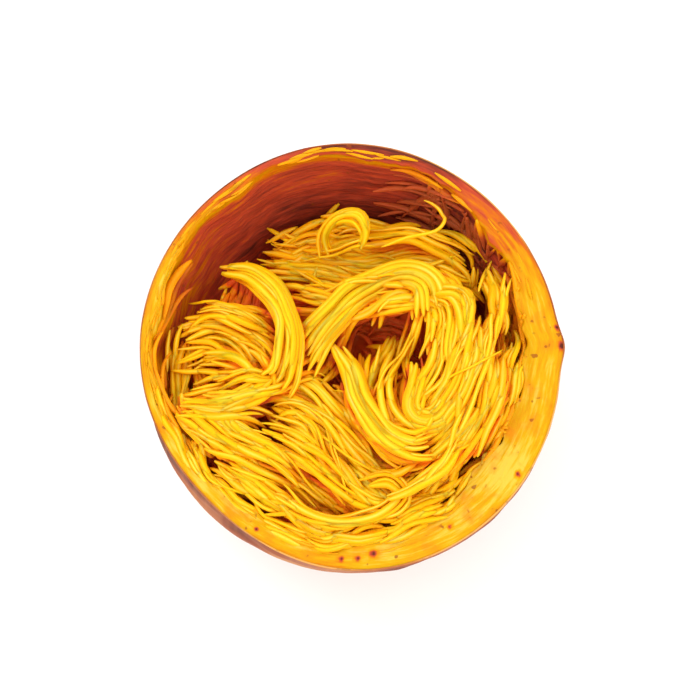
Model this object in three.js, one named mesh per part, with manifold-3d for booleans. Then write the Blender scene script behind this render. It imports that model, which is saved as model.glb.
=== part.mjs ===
// Half of a roasted spaghetti squash, cut across its middle and standing on its end as a bowl.
// The rind and the flesh still on it grew as one piece and are one solid. The flesh that was raked
// loose lies inside as a bed of strands, with bunches, ribbons, loops and a curl of longer strands on it.
// Millimetres, +Z up. The origin is the middle of the flat spot that the squash stands on, the cut faces
// up, and angles are measured from +X towards +Y.

import * as THREE from "three";
import { mergeVertices } from "three/addons/utils/BufferGeometryUtils.js";
import Module from "manifold-3d";

const wasm = await Module();
wasm.setup();

const { degToRad, lerp, smoothstep } = THREE.MathUtils;
const FULL_TURN = 2 * Math.PI;

// The shell: depths are measured down from the cut
const RIM_HEIGHT = 95;
const RIM_RADIUS = 74.4;
const END_DEPTH = 99; // where the rounded end would close, if it had no flat spot
const RIND_FULLNESS = 2.2; // 2 is an ellipse seen from the side, and more is fuller
const CAVITY_DEPTH = 80;
const DEEP_WALL = 14; // flesh left on the wall well below the cut
const DEEP_WALL_FROM = 50;
const FLAT_SIDE = { angle: degToRad(227), inset: 5.2, spread: degToRad(25), depth: 0, fade: 16 };
const KNOB = { angle: degToRad(2), inset: -1.8, spread: degToRad(3.5), depth: 4, fade: 7 };
const OVAL = 0.019; // how much longer the rind is from front to back, and shorter from side to side
const LOBES = { size: 0.005, start: 1.2 }; // three faint lobes round the rind
const SHELL_SIDES = 64;
const RIND_ROWS = 11;
const CUT_ROWS = [ // how far in across the cut, as a share of its width, and how high
  { share: 0.35, rise: 0.4 },
  { share: 0.75, rise: -0.2 },
  { share: 1, rise: -1.4 },
];
const WALL_ROWS = [5, 12, 21, 32, 44, 56, 67]; // depths
const DISH_RISE = 4; // how much the bottom of the cavity curves up before it meets the wall

// The width of the cut flesh: widest on the right, towards the front, and thin at the back
const RIM_WIDTH = 7.8;
const RIM_WIDTH_SWING = 4.8;
const RIM_WIDEST_AT = degToRad(-40);
const RIM_WIDTH_RIPPLE = 1.5;
const RIM_RIPPLE_AT = degToRad(150);
const TORN_STEPS = [ // where flesh was torn out of the cut
  { size: 0.8, count: 9, start: 1 },
  { size: 0.6, count: 17, start: 2.2 },
];
const RIM_WAVES = [ // how far the cut is from flat
  { size: 0.6, count: 2, start: 1 },
  { size: 0.4, count: 5, start: 0 },
];

// The bed of loose strands: it falls away from the wall at the back and has hollows raked into it
const BED_DEPTH = 22;
const BED_FRONT_RISE = 8;
const BED_BACK_FALL = 25;
const BED_FALL = { near: 30, far: 82, front: -45, back: 25 }; // distances from the heap's middle, and y
const BED_FRONT = { near: 15, far: 60 }; // towards the front, where the bed rises
const HEAP_MIDDLE = { x: 4, y: -17 };
const HOLLOWS = [
  { x: -39, y: 21, depth: 7, spread: 9 },
  { x: 2, y: 9, depth: 6, spread: 6 },
  { x: 44, y: -27, depth: 9, spread: 10 },
];
const BED_FLOOR_DEPTH = 66;
const BED_RADIUS = 58;
const BED_SIDES = 40;
const BED_ROWS = 15;
const BED_RIDGE = 1.1;
const BED_STRANDS = 12;
const BED_STRAND_STEPS = 5;
const BED_STRAND_LENGTH = { least: 28, most: 44 };
const GOLDEN_ANGLE = 2.39996; // spaces the strands evenly over the bed

// A strand is flatter than it is wide, and thicker here than one fibre of the real flesh
const STRAND_SIDES = 4;
const STRAND = { width: 3.8, thickness: 2.4 };
const STRAND_STEP = 8; // length of one straight stretch of a strand
const LOOP_STEP = 5; // the same in the narrow loops and curls
const LOOP_STRANDS = 3; // the most strands that such a loop has
const BEND_RADIUS = 30; // the tightest that a strand droops over what it lies on
const NEIGHBOUR_STEP = 1; // the most that one strand of a bunch lies below the next
const SWAY = 0.4; // sideways wander of a strand in its bunch
const CROWN = 0.8; // how much the middle of a bunch lies above its sides
const ENDS_DRAWN_IN = 0.65; // width of a bunch at its ends, as a share of its middle
const END_FULLNESS = 0.5; // thickness of a strand at its ends, as a share of its middle
const GAP = 0.35; // air between pieces that lie on each other
const PILE_CELL = 1;

// Bunches in the order that they were dropped, each along a line of points seen from above.
// spread is half the bunch's width, and lift is how far its middle stands clear of what is below it.
const BUNCHES = [
  { name: "bunch_right_wall", strands: 6, spread: 5.5, lift: 0,
    line: [[47, -2], [47, -15], [42, -27], [34, -37], [24, -45]] },
  { name: "bunch_left_sweep", strands: 6, spread: 6.5, lift: 0,
    line: [[-57, -18], [-43, -16], [-28, -12], [-17, -2]] },
  { name: "bunch_front_left", strands: 7, spread: 9, lift: 0,
    line: [[-54, -23], [-44, -32], [-31, -39], [-19, -46], [-11, -53]] },
  { name: "bunch_front_middle", strands: 8, spread: 10, lift: 0,
    line: [[-23, -15], [-11, -22], [-3, -34], [6, -44], [16, -49]] },
  { name: "bunch_left_heap", strands: 7, spread: 9, lift: 0,
    line: [[-57, 5], [-46, 7], [-36, 2], [-30, -8]] },
  { name: "bunch_back", strands: 7, spread: 8, lift: 0,
    line: [[-30, 42], [-14, 38], [6, 34], [24, 35], [41, 28]] },
  { name: "bunch_right_swirl", strands: 6, spread: 7.5, lift: 0,
    line: [[18, 3], [13, -11], [17, -22], [26, -24], [32, -15], [34, 1]] },
  { name: "bunch_right_fall", strands: 6, spread: 6, lift: 0,
    line: [[49, 27], [47, 15], [42, 1], [36, -13], [28, -25]] },
  { name: "ribbon_middle", strands: 4, spread: 4.5, lift: 0,
    line: [[-5, 5], [1, -6], [5, -17], [12, -28], [21, -33], [29, -32]] },
  { name: "bunch_arch", strands: 6, spread: 6, lift: 3,
    line: [[-18, -3], [-8, 11], [4, 23], [17, 29], [27, 25], [30, 13]] },
  { name: "ribbon_left", strands: 5, spread: 5, lift: 2,
    line: [[-46, 34], [-34, 30], [-24, 19], [-20, 6], [-22, -7], [-26, -13]] },
  { name: "loop_front", strands: 3, spread: 3.2, lift: 0,
    line: [[-24, -49], [-13, -56], [0, -58], [12, -55], [18, -49], [13, -44], [4, -47]] },
  { name: "curl_back", strands: 2, spread: 1.7, lift: 6,
    line: [[-8, 39], [-9, 46], [-4, 51], [3, 51], [6, 45], [4, 39]] },
  { name: "loop_back", strands: 1, spread: 0, lift: 2,
    line: [[9, 37], [22, 41], [32, 45], [36, 50], [33, 55], [25, 57]] },
  { name: "strand_front_right", strands: 2, spread: 1.5, lift: 0,
    line: [[12, -51], [22, -47], [31, -40], [38, -33]] },
];

// Strands still held by the wall: where each row of them runs, by angle and depth
const WALL_TUFTS = [
  { from: degToRad(62), to: degToRad(18), count: 6, depth: 9, slope: 13 },
  { from: degToRad(190), to: degToRad(150), count: 4, depth: 7, slope: 8 },
];
const TUFT_ARC = degToRad(22);
const TUFT_STEPS = 5;

// Colours of the roasted rind and of the flesh
const RIND = { color: 0xc98a4b, roughness: 0.5, metalness: 0 };
const FLESH = { color: 0xf2b91f, roughness: 0.35, metalness: 0 };

// A seeded stream of numbers from 0 to 1, so that every build gives the same strands
function seededRandom(seed) {
  let state = seed;
  return () => {
    state = (state + 0x6d2b79f5) | 0;
    let mixed = Math.imul(state ^ (state >>> 15), 1 | state);
    mixed = (mixed + Math.imul(mixed ^ (mixed >>> 7), 61 | mixed)) ^ mixed;
    return ((mixed ^ (mixed >>> 14)) >>> 0) / 4294967296;
  };
}
const random = seededRandom(7);
const between = (low, high) => lerp(low, high, random());

const bell = (x, spread) => Math.exp(-((x / spread) ** 2) / 2);
const turnBetween = (a, b) => Math.atan2(Math.sin(a - b), Math.cos(a - b));

const waveSum = (waves, angle) =>
  waves.reduce((sum, { size, count, start }) => sum + size * Math.sin(count * angle + start), 0);

// A dent, or with a negative inset a bump, in the rind below the cut
function dent(feature, angle, depth) {
  const round = bell(turnBetween(angle, feature.angle), feature.spread);
  return feature.inset * round * bell(depth - feature.depth, feature.fade);
}

// The rind's radius: round like an egg, a little out of true, with the flat side and the knob
function outerRadius(angle, depth) {
  const round = RIM_RADIUS * (1 - (depth / END_DEPTH) ** RIND_FULLNESS) ** (1 / RIND_FULLNESS);
  const uneven = 1 - OVAL * Math.cos(2 * angle) + LOBES.size * Math.cos(3 * angle + LOBES.start);
  return round * uneven - dent(FLAT_SIDE, angle, depth) - dent(KNOB, angle, depth);
}

// The width of the cut, with the small steps where flesh was torn out of it
function rimWidth(angle) {
  const swing = RIM_WIDTH_SWING * Math.cos(angle - RIM_WIDEST_AT);
  const ripple = RIM_WIDTH_RIPPLE * Math.cos(2 * (angle - RIM_RIPPLE_AT));
  return RIM_WIDTH + swing + ripple + waveSum(TORN_STEPS, angle);
}

function innerRadius(angle, depth) {
  const wall = lerp(rimWidth(angle), DEEP_WALL, smoothstep(depth, 0, DEEP_WALL_FROM));
  return outerRadius(angle, depth) - wall;
}

const rimHeight = (angle) => RIM_HEIGHT + waveSum(RIM_WAVES, angle);

const onCircle = (angle, radius, height) =>
  new THREE.Vector3(radius * Math.cos(angle), radius * Math.sin(angle), height);
const onAxis = (height) => () => new THREE.Vector3(0, 0, height);

// A closed body turned about Z: each row is a function from an angle to a point, and the first and last
// rows are points on the axis
function turnedGeometry(rows, sides) {
  const profile = rows.map((_, row) => new THREE.Vector2(row, row));
  const lathe = new THREE.LatheGeometry(profile, sides);
  const position = lathe.getAttribute("position");
  for (let side = 0; side <= sides; side++) {
    const angle = (FULL_TURN * side) / sides;
    rows.forEach((place, row) => {
      const point = place(angle);
      position.setXYZ(side * rows.length + row, point.x, point.y, point.z);
    });
  }
  return lathe;
}

// A strand: a cylinder bent along a path, with its flat side down and its ends drawn thin
function strandGeometry(path, { width, thickness }) {
  const steps = path.length - 1;
  const tube = new THREE.CylinderGeometry(Math.SQRT1_2, Math.SQRT1_2, 1, STRAND_SIDES, steps);
  tube.rotateY(Math.PI / STRAND_SIDES);
  const position = tube.getAttribute("position");
  for (let i = 0; i < position.count; i++) {
    const step = Math.round((position.getY(i) + 0.5) * steps);
    const along = path[Math.min(step + 1, steps)].clone().sub(path[Math.max(step - 1, 0)]).normalize();
    const side = new THREE.Vector3(along.y, -along.x, 0).normalize();
    const up = side.clone().cross(along);
    const full = step === 0 || step === steps ? END_FULLNESS : 1;
    const point = path[step]
      .clone()
      .addScaledVector(side, position.getX(i) * width * full)
      .addScaledVector(up, position.getZ(i) * thickness * full);
    position.setXYZ(i, point.x, point.y, point.z);
  }
  return tube;
}

// A closed geometry as a solid that can be joined to others
function solidOf(geometry) {
  const bare = geometry.clone();
  bare.deleteAttribute("normal");
  bare.deleteAttribute("uv");
  const merged = mergeVertices(bare, 1e-4);
  return new wasm.Manifold(
    new wasm.Mesh({
      numProp: 3,
      vertProperties: new Float32Array(merged.getAttribute("position").array),
      triVerts: new Uint32Array(merged.index.array),
    }),
  );
}

// Several closed geometries that cross each other as one, without the pockets sealed between them
function joined(geometries) {
  const solid = geometries.map(solidOf).reduce((whole, piece) => whole.add(piece));
  const skins = solid.decompose().filter((skin) => skin.volume() > 0);
  const { vertProperties, triVerts } = wasm.Manifold.compose(skins).getMesh();
  const geometry = new THREE.BufferGeometry();
  geometry.setAttribute("position", new THREE.BufferAttribute(vertProperties, 3));
  geometry.setIndex(new THREE.BufferAttribute(triVerts, 1));
  geometry.computeVertexNormals();
  return geometry;
}

// Rows of the shell: up the rind from the flat spot, over the cut and down into the cavity
function shellRows() {
  const footTurn = Math.asin(RIM_HEIGHT / END_DEPTH);
  const rind = Array.from({ length: RIND_ROWS + 1 }, (_, i) => {
    const depth = END_DEPTH * Math.sin(footTurn * (1 - i / RIND_ROWS));
    const share = 1 - depth / RIM_HEIGHT;
    return (angle) => onCircle(angle, outerRadius(angle, depth), share * rimHeight(angle));
  });
  const cut = CUT_ROWS.map(({ share, rise }) => (angle) => {
    const radius = outerRadius(angle, 0) - share * rimWidth(angle);
    return onCircle(angle, radius, rimHeight(angle) + rise);
  });
  const wall = WALL_ROWS.map(
    (depth) => (angle) => onCircle(angle, innerRadius(angle, depth), RIM_HEIGHT - depth),
  );
  const bottom = RIM_HEIGHT - CAVITY_DEPTH;
  const dish = (angle) => onCircle(angle, 0.6 * innerRadius(angle, WALL_ROWS.at(-1)), bottom + DISH_RISE);
  return [onAxis(0), ...rind, ...cut, ...wall, dish, onAxis(bottom)];
}

// Strands that still hang on the wall, half sunk in it
function wallTufts() {
  return WALL_TUFTS.flatMap(({ from, to, count, depth, slope }) =>
    Array.from({ length: count }, (_, i) => {
      const start = lerp(from, to, i / (count - 1)) + between(-0.05, 0.05);
      const top = depth + between(-3, 7);
      const path = Array.from({ length: TUFT_STEPS + 1 }, (_, step) => {
        const share = step / TUFT_STEPS;
        const angle = start - (share - 0.5) * TUFT_ARC;
        const down = top + slope * share;
        const proud = STRAND.thickness * (0.2 + 0.2 * Math.sin(Math.PI * share));
        return onCircle(angle, innerRadius(angle, down) - proud, RIM_HEIGHT - down);
      });
      return strandGeometry(path, STRAND);
    }),
  );
}

// How far below the cut the bed lies
function bedDepth(x, y) {
  const away = Math.hypot(x - HEAP_MIDDLE.x, y - HEAP_MIDDLE.y);
  const backward = smoothstep(y, BED_FALL.front, BED_FALL.back);
  const fall = BED_BACK_FALL * smoothstep(away, BED_FALL.near, BED_FALL.far) * backward;
  const rise = BED_FRONT_RISE * smoothstep(-y, BED_FRONT.near, BED_FRONT.far);
  const raked = HOLLOWS.reduce(
    (sum, hollow) => sum + hollow.depth * bell(Math.hypot(x - hollow.x, y - hollow.y), hollow.spread),
    0,
  );
  return BED_DEPTH + fall - rise + raked;
}

// Where the top of the bed meets the wall, found by closing in on it
function bedEdgeDepth(angle) {
  let depth = BED_DEPTH;
  for (let i = 0; i < 30; i++) {
    const radius = innerRadius(angle, depth) - GAP;
    depth = lerp(depth, bedDepth(radius * Math.cos(angle), radius * Math.sin(angle)), 0.5);
  }
  return depth;
}

// Rows of the bed: up the wall of the cavity, a gap away from it, and in over the heap. There every second
// row stands proud, like a strand that still lies the way it grew, round the squash.
function bedRows() {
  const sideRows = [0, 0.35, 0.7, 1].map((share) => (angle) => {
    const depth = lerp(BED_FLOOR_DEPTH, bedEdgeDepth(angle), share);
    return onCircle(angle, innerRadius(angle, depth) - 2 * GAP, RIM_HEIGHT - depth);
  });
  const topRows = Array.from({ length: BED_ROWS }, (_, i) => (angle) => {
    const share = lerp(0.94, 0.08, i / (BED_ROWS - 1)) + 0.01 * Math.sin(2 * angle + i);
    const radius = share * (innerRadius(angle, bedEdgeDepth(angle)) - 2 * GAP);
    const ridge = BED_RIDGE * (i % 2 === 0 ? 1 : -1) * (0.6 + 0.4 * Math.sin(3 * angle + 2.4 * i));
    const point = onCircle(angle, radius, RIM_HEIGHT + ridge);
    point.z -= bedDepth(point.x, point.y);
    return point;
  });
  const floor = RIM_HEIGHT - BED_FLOOR_DEPTH;
  return [onAxis(floor), ...sideRows, ...topRows, onAxis(RIM_HEIGHT - bedDepth(0, 0))];
}

// Short strands all over the bed, running round the squash as they grew, half sunk in it
function bedStrands() {
  return Array.from({ length: BED_STRANDS }, (_, i) => {
    const outward = Math.sqrt((i + 0.5) / BED_STRANDS);
    const middle = i * GOLDEN_ANGLE + between(-0.2, 0.2);
    const length = between(BED_STRAND_LENGTH.least, BED_STRAND_LENGTH.most);
    const arc = length / Math.max(16, BED_RADIUS * outward);
    const drift = between(-0.14, 0.14);
    const path = Array.from({ length: BED_STRAND_STEPS + 1 }, (_, step) => {
      const share = step / BED_STRAND_STEPS - 0.5;
      const angle = middle + arc * share;
      const reach = Math.min(0.93, outward * 0.93 * (1 + drift * share));
      const radius = reach * innerRadius(angle, bedEdgeDepth(angle));
      const point = onCircle(angle, radius, RIM_HEIGHT);
      point.z -= bedDepth(point.x, point.y) - 0.25 * STRAND.thickness;
      return point;
    });
    return strandGeometry(path, STRAND);
  });
}

// How high things lie already, on a grid seen from above
class Pile {
  constructor() {
    this.reach = RIM_RADIUS + 5;
    this.across = Math.ceil((2 * this.reach) / PILE_CELL) + 1;
    this.heights = new Float32Array(this.across ** 2);
  }

  // Calls visit with each cell within a radius of a point
  around(x, y, radius, visit) {
    const cells = Math.ceil(radius / PILE_CELL);
    const column = Math.round((x + this.reach) / PILE_CELL);
    const row = Math.round((y + this.reach) / PILE_CELL);
    for (let i = -cells; i <= cells; i++) {
      for (let j = -cells; j <= cells; j++) {
        if (Math.hypot(i, j) * PILE_CELL <= radius) visit((row + j) * this.across + column + i);
      }
    }
  }

  highest(x, y, radius) {
    let top = 0;
    this.around(x, y, radius, (cell) => (top = Math.max(top, this.heights[cell])));
    return top;
  }

  raise({ x, y, z }) {
    this.around(x, y, 0, (cell) => (this.heights[cell] = Math.max(this.heights[cell], z)));
  }

  // Takes in a geometry's surface, as points closer together than a cell
  addGeometry(geometry) {
    const bare = geometry.index ? geometry.toNonIndexed() : geometry;
    const position = bare.getAttribute("position");
    const corner = (i) => new THREE.Vector3().fromBufferAttribute(position, i);
    for (let i = 0; i < position.count; i += 3) {
      const [a, b, c] = [corner(i), corner(i + 1), corner(i + 2)];
      const longest = Math.max(a.distanceTo(b), b.distanceTo(c), c.distanceTo(a));
      const grain = Math.ceil(longest / (0.7 * PILE_CELL));
      for (let u = 0; u <= grain; u++) {
        for (let v = 0; v <= grain - u; v++) {
          const point = a.clone().multiplyScalar(1 - (u + v) / grain);
          point.addScaledVector(b, u / grain).addScaledVector(c, v / grain);
          this.raise(point);
        }
      }
    }
  }
}

// Lifts a strand's points onto the pile: it droops over what it lies on, no tighter than its bend allows
function rest(points, pile, lift) {
  const step = points[0].distanceTo(points[1]);
  const below = points.map((point) => pile.highest(point.x, point.y, (STRAND.width + step) / 2));
  points.forEach((point, i) => {
    const held = below.map((height, j) => height - ((i - j) * step) ** 2 / (2 * BEND_RADIUS));
    const arch = lift * Math.sin((Math.PI * i) / (points.length - 1));
    point.z += Math.max(...held) + GAP + STRAND.thickness / 2 + arch;
  });
}

// Keeps strands side by side together: one that lies high draws its neighbours up with it
function drape(rows) {
  const draw = (row, neighbour) =>
    row.forEach((point, i) => (point.z = Math.max(point.z, neighbour[i].z - NEIGHBOUR_STEP)));
  for (let i = 1; i < rows.length; i++) draw(rows[i], rows[i - 1]);
  for (let i = rows.length - 2; i >= 0; i--) draw(rows[i], rows[i + 1]);
}

// The strands of a bunch side by side along its line: the middle ones lie highest and the ends draw in
function bunchStrands({ line, strands, spread, lift }, pile) {
  const curve = new THREE.CatmullRomCurve3(line.map(([x, y]) => new THREE.Vector3(x, y, 0)));
  const stretch = strands > LOOP_STRANDS ? STRAND_STEP : LOOP_STEP;
  const last = Math.max(5, Math.round(curve.getLength() / stretch));
  const middle = curve.getSpacedPoints(last);
  const rows = Array.from({ length: strands }, (_, i) => {
    const across = strands > 1 ? lerp(-1, 1, i / (strands - 1)) : 0;
    const sway = between(0, FULL_TURN);
    const row = middle.map((point, step) => {
      const along = middle[Math.min(step + 1, last)].clone().sub(middle[Math.max(step - 1, 0)]);
      const side = new THREE.Vector3(along.y, -along.x, 0).normalize();
      const fan = lerp(ENDS_DRAWN_IN, 1, Math.sin((Math.PI * step) / last));
      return point.clone().addScaledVector(side, across * spread * fan + SWAY * Math.sin(sway + step));
    });
    rest(row, pile, lift);
    row.forEach((point) => (point.z += CROWN * (1 - across ** 2)));
    return row;
  });
  drape(rows);
  const ragged = () => (strands > 1 ? Math.floor(between(0, 2)) : 0); // steps left off an end
  return rows.map((row) => strandGeometry(row.slice(ragged(), row.length - ragged()), STRAND));
}

function namedMesh(name, geometry, finish) {
  const mesh = new THREE.Mesh(geometry, new THREE.MeshStandardMaterial(finish));
  mesh.name = name;
  return mesh;
}

const squash = new THREE.Group();
const pile = new Pile();

const shell = joined([turnedGeometry(shellRows(), SHELL_SIDES), ...wallTufts()]);
squash.add(namedMesh("shell", shell, RIND));
pile.addGeometry(shell);

const bed = joined([turnedGeometry(bedRows(), BED_SIDES), ...bedStrands()]);
squash.add(namedMesh("strand_bed", bed, FLESH));
pile.addGeometry(bed);

for (const bunch of BUNCHES) {
  const geometry = joined(bunchStrands(bunch, pile));
  squash.add(namedMesh(bunch.name, geometry, FLESH));
  pile.addGeometry(geometry);
}

export default squash;
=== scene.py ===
# %% [markdown]
# # Half of a roasted spaghetti squash
# The squash was cut across its middle, roasted, stood on its rounded end and raked, so that its flesh
# came loose as strands and now fills the shell like a bowl. The measured solids come first: they fix where
# everything is, and every finer piece below is made to lie where its solid lies.

import math

import bpy
import numpy as np
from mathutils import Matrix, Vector
from mathutils.bvhtree import BVHTree


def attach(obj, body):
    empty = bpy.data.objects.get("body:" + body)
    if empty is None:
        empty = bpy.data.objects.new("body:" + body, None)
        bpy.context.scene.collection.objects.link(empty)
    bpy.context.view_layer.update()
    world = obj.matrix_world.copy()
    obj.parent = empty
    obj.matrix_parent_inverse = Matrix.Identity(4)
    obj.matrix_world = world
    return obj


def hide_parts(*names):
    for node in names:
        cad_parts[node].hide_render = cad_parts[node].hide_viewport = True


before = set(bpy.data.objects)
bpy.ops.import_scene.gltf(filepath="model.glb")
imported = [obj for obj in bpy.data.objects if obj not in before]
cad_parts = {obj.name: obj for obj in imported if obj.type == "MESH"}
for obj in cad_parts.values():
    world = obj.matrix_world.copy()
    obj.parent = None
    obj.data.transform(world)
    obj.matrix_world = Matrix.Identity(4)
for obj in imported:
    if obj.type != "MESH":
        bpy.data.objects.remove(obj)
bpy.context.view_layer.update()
MM = 0.001
SEED, NOISE_SEED = 11, 5
rng = np.random.default_rng(SEED)

# %% [markdown]
# ## The shape of the shell
# A squash is round but never quite: this one is a little out of true, flat on one side, and has a knob
# where it bulged. One could sculpt that by hand. A formula for the radius at any angle and depth is
# easier to keep in step with the solids, and later steps can ask it where the wall is. Lengths in the
# formulas are millimetres, and depth is measured down from the cut.

# %% Radius of the rind and of the inner wall
RIM_HEIGHT, RIM_RADIUS = 95.0, 74.4
END_DEPTH, RIND_FULLNESS = 99.0, 2.2
CAVITY_DEPTH = 80.0
DEEP_WALL, DEEP_WALL_FROM = 14.0, 50.0
FLAT_SIDE = dict(at=227, inset=5.2, spread=25, depth=0, fade=16)
KNOB = dict(at=2, inset=-1.8, spread=3.5, depth=4, fade=7)
OVAL, LOBES, LOBES_START = 0.019, 0.005, 1.2
RIM_WIDTH, RIM_SWING, RIM_RIPPLE = 7.8, 4.8, 1.5
RIM_WIDEST_AT, RIM_RIPPLE_AT = np.radians(-40), np.radians(150)
RIM_TEARS = [(0.8, 9, 1), (0.6, 17, 2.2)]  # millimetres, waves in a turn, where they start
RIM_WAVES = [(0.6, 2, 1), (0.4, 5, 0)]


def smooth(x, low, high):
    share = np.clip((x - low) / (high - low), 0, 1)
    return share * share * (3 - 2 * share)


def bell(x, spread):
    return np.exp(-((x / spread) ** 2) / 2)


def turn_between(a, b):
    return np.arctan2(np.sin(a - b), np.cos(a - b))


def facing(angle, at, spread):
    """How far a side of the squash faces one way: 1 there, and less over so many degrees."""
    return bell(turn_between(angle, np.radians(at)), np.radians(spread))


def waves(angle, parts, base=0.0):
    return sum((size * np.sin(count * angle + start) for size, count, start in parts), base)


def dent(angle, depth, side):
    round_it = facing(angle, side["at"], side["spread"])
    return side["inset"] * round_it * bell(depth - side["depth"], side["fade"])


def outer_radius(angle, depth):
    share = np.clip(depth / END_DEPTH, 0, 1)
    egg = RIM_RADIUS * (1 - share**RIND_FULLNESS) ** (1 / RIND_FULLNESS)
    uneven = 1 - OVAL * np.cos(2 * angle) + LOBES * np.cos(3 * angle + LOBES_START)
    return egg * uneven - dent(angle, depth, FLAT_SIDE) - dent(angle, depth, KNOB)


def rim_width(angle):
    swing = RIM_SWING * np.cos(angle - RIM_WIDEST_AT)
    ripple = RIM_RIPPLE * np.cos(2 * (angle - RIM_RIPPLE_AT))
    return RIM_WIDTH + swing + ripple + waves(angle, RIM_TEARS)


def inner_radius(angle, depth):
    share = smooth(depth, 0, DEEP_WALL_FROM)
    return outer_radius(angle, depth) - rim_width(angle) * (1 - share) - DEEP_WALL * share


def rim_height(angle):
    return waves(angle, RIM_WAVES, RIM_HEIGHT)


print("radius at the cut, mm:", np.round(outer_radius(np.radians([0, 90, 180, 230, 270]), 0.0), 1))

# %% [markdown]
# ## Noise for flesh and skin
# Nothing grown is smooth, so the formulas get a soft random part. Blender's own noise works a point at a
# time. A small lattice of random numbers, blended between its corners, does the same for a whole array of
# points at once, and a fixed seed makes every run the same.

# %% A lattice noise for arrays of points
LATTICE_SIZE = 48
LATTICE = np.random.default_rng(NOISE_SEED).uniform(-1, 1, (LATTICE_SIZE,) * 3)
LAYER_APART = 7.3


def noise(x, y, z):
    x, y, z = np.broadcast_arrays(x, y, z)
    corner = [np.floor(v).astype(int) for v in (x, y, z)]
    share = [smooth(v - c, 0, 1) for v, c in zip((x, y, z), corner)]
    total = np.zeros(x.shape)
    for step in np.ndindex(2, 2, 2):
        weight = np.prod([s if up else 1 - s for s, up in zip(share, step)], axis=0)
        place = tuple((c + up) % LATTICE_SIZE for c, up in zip(corner, step))
        total += weight * LATTICE[place]
    return total


def round_noise(angle, per_turn, along, layer):
    """Noise that closes on itself round the squash: per_turn is how fast it changes with the angle."""
    return noise(per_turn * np.cos(angle), per_turn * np.sin(angle) + LAYER_APART * layer, along)


print("noise runs from", np.round([noise(rng.uniform(0, 40, 999), 0.5, 0.5).min(),
                                   noise(rng.uniform(0, 40, 999), 0.5, 0.5).max()], 2))

# %% [markdown]
# ## A turned skin
# Both the rind and the flesh on it are turned about the squash's axis, like a pot on a wheel, with every
# ring pushed in and out. Blender's Screw modifier turns one profile, but here the profile changes with the
# angle. So rings of points are placed by formula and joined with faces, from a point on the axis to another.

# %% Rings of points into a closed mesh
def mesh_piece(name, points, faces, values):
    """A smooth mesh object from points in millimetres, with named values for its finish to read."""
    mesh = bpy.data.meshes.new(name)
    mesh.from_pydata((points * MM).tolist(), [], faces)
    mesh.polygons.foreach_set("use_smooth", np.ones(len(mesh.polygons), bool))
    for key, value in values.items():
        kind, field = ("FLOAT", "value") if value.ndim == 1 else ("FLOAT_VECTOR", "vector")
        attribute = mesh.attributes.new(key, kind, "POINT")
        attribute.data.foreach_set(field, value.astype(np.float32).ravel())
    mesh.update()
    piece = bpy.data.objects.new(name, mesh)
    bpy.context.scene.collection.objects.link(piece)
    return piece


def turned_skin(name, rings, low, high, values):
    """rings is rows x sides x 3; low and high close it on the axis, at the first and last ring."""
    rows, sides, _ = rings.shape
    corner = 1 + np.arange(rows * sides).reshape(rows, sides)
    beside = np.roll(corner, -1, axis=1)
    faces = np.stack([corner[:-1], beside[:-1], beside[1:], corner[1:]], -1).reshape(-1, 4).tolist()
    last = rows * sides + 1
    faces += [[0, b, a] for a, b in zip(corner[0], beside[0])]
    faces += [[a, b, last] for a, b in zip(corner[-1], beside[-1])]
    points = np.vstack([[0, 0, low], rings.reshape(-1, 3), [0, 0, high]])
    on_points = {}
    for key, value in values.items():
        flat = value.reshape(rows * sides, -1)
        flat = np.vstack([flat[:1], flat, flat[-1:]])
        on_points[key] = flat[:, 0] if flat.shape[1] == 1 else flat
    return mesh_piece(name, points, faces, on_points)


def settle(piece, finish, slot, *nodes):
    """Gives a piece its finish, hangs it on the root body, and hides the solids that it stands for."""
    piece.data.materials.append(finish)
    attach(piece, "root")
    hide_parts(*nodes)
    print(piece.name, "has", sum(len(p.vertices) - 2 for p in piece.data.polygons), "triangles")


# %% [markdown]
# ## Shader nodes, written shortly
# A finish is a net of shader nodes. Making each node by hand takes a line per setting, so one small helper
# makes a node with its settings and inputs in one go, and a few more make the kinds used most: a colour
# ramp from its stops, a mix, a change of range, a noise, a sum or product, and a bump.

# %% Helpers for shader nodes
def new_finish(name):
    finish = bpy.data.materials.new(name)
    finish.use_nodes = True
    finish.node_tree.nodes.clear()
    return finish, finish.node_tree


def node(tree, kind, inputs=None, **settings):
    made = tree.nodes.new(kind)
    for key, value in settings.items():
        setattr(made, key, value)
    for key, value in (inputs or {}).items():
        if isinstance(value, bpy.types.NodeSocket):
            tree.links.new(value, made.inputs[key])
        else:
            made.inputs[key].default_value = value
    return made


def value_of(tree, name, output="Fac"):
    return node(tree, "ShaderNodeAttribute", attribute_name=name).outputs[output]


def ramp(tree, share, *stops):
    """A colour ramp: each stop is its place and a linear colour."""
    made = node(tree, "ShaderNodeValToRGB", {"Fac": share})
    elements = made.color_ramp.elements
    while len(elements) < len(stops):
        elements.new(0.5)
    for element, (place, colour) in zip(elements, stops):
        element.position = place
        element.color = (*colour, 1)
    return made.outputs["Color"]


def mix(tree, share, colour, other):
    """The first colour, with so much of another colour over it."""
    other = (*other, 1) if isinstance(other, tuple) else other
    return node(tree, "ShaderNodeMix", {0: share, 6: colour, 7: other}, data_type="RGBA").outputs[2]


def spread(tree, value, low, high, to_low=0.0, to_high=1.0):
    return node(tree, "ShaderNodeMapRange", {"Value": value, "From Min": low, "From Max": high,
                                             "To Min": to_low, "To Max": to_high}).outputs["Result"]


def grain(tree, vector, scale, detail, roughness=0.5):
    return node(tree, "ShaderNodeTexNoise", {"Vector": vector, "Scale": scale, "Detail": detail,
                                             "Roughness": roughness}).outputs["Fac"]


def joined(tree, operation, a, b):
    return node(tree, "ShaderNodeMath", {0: a, 1: b}, operation=operation).outputs[0]


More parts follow.
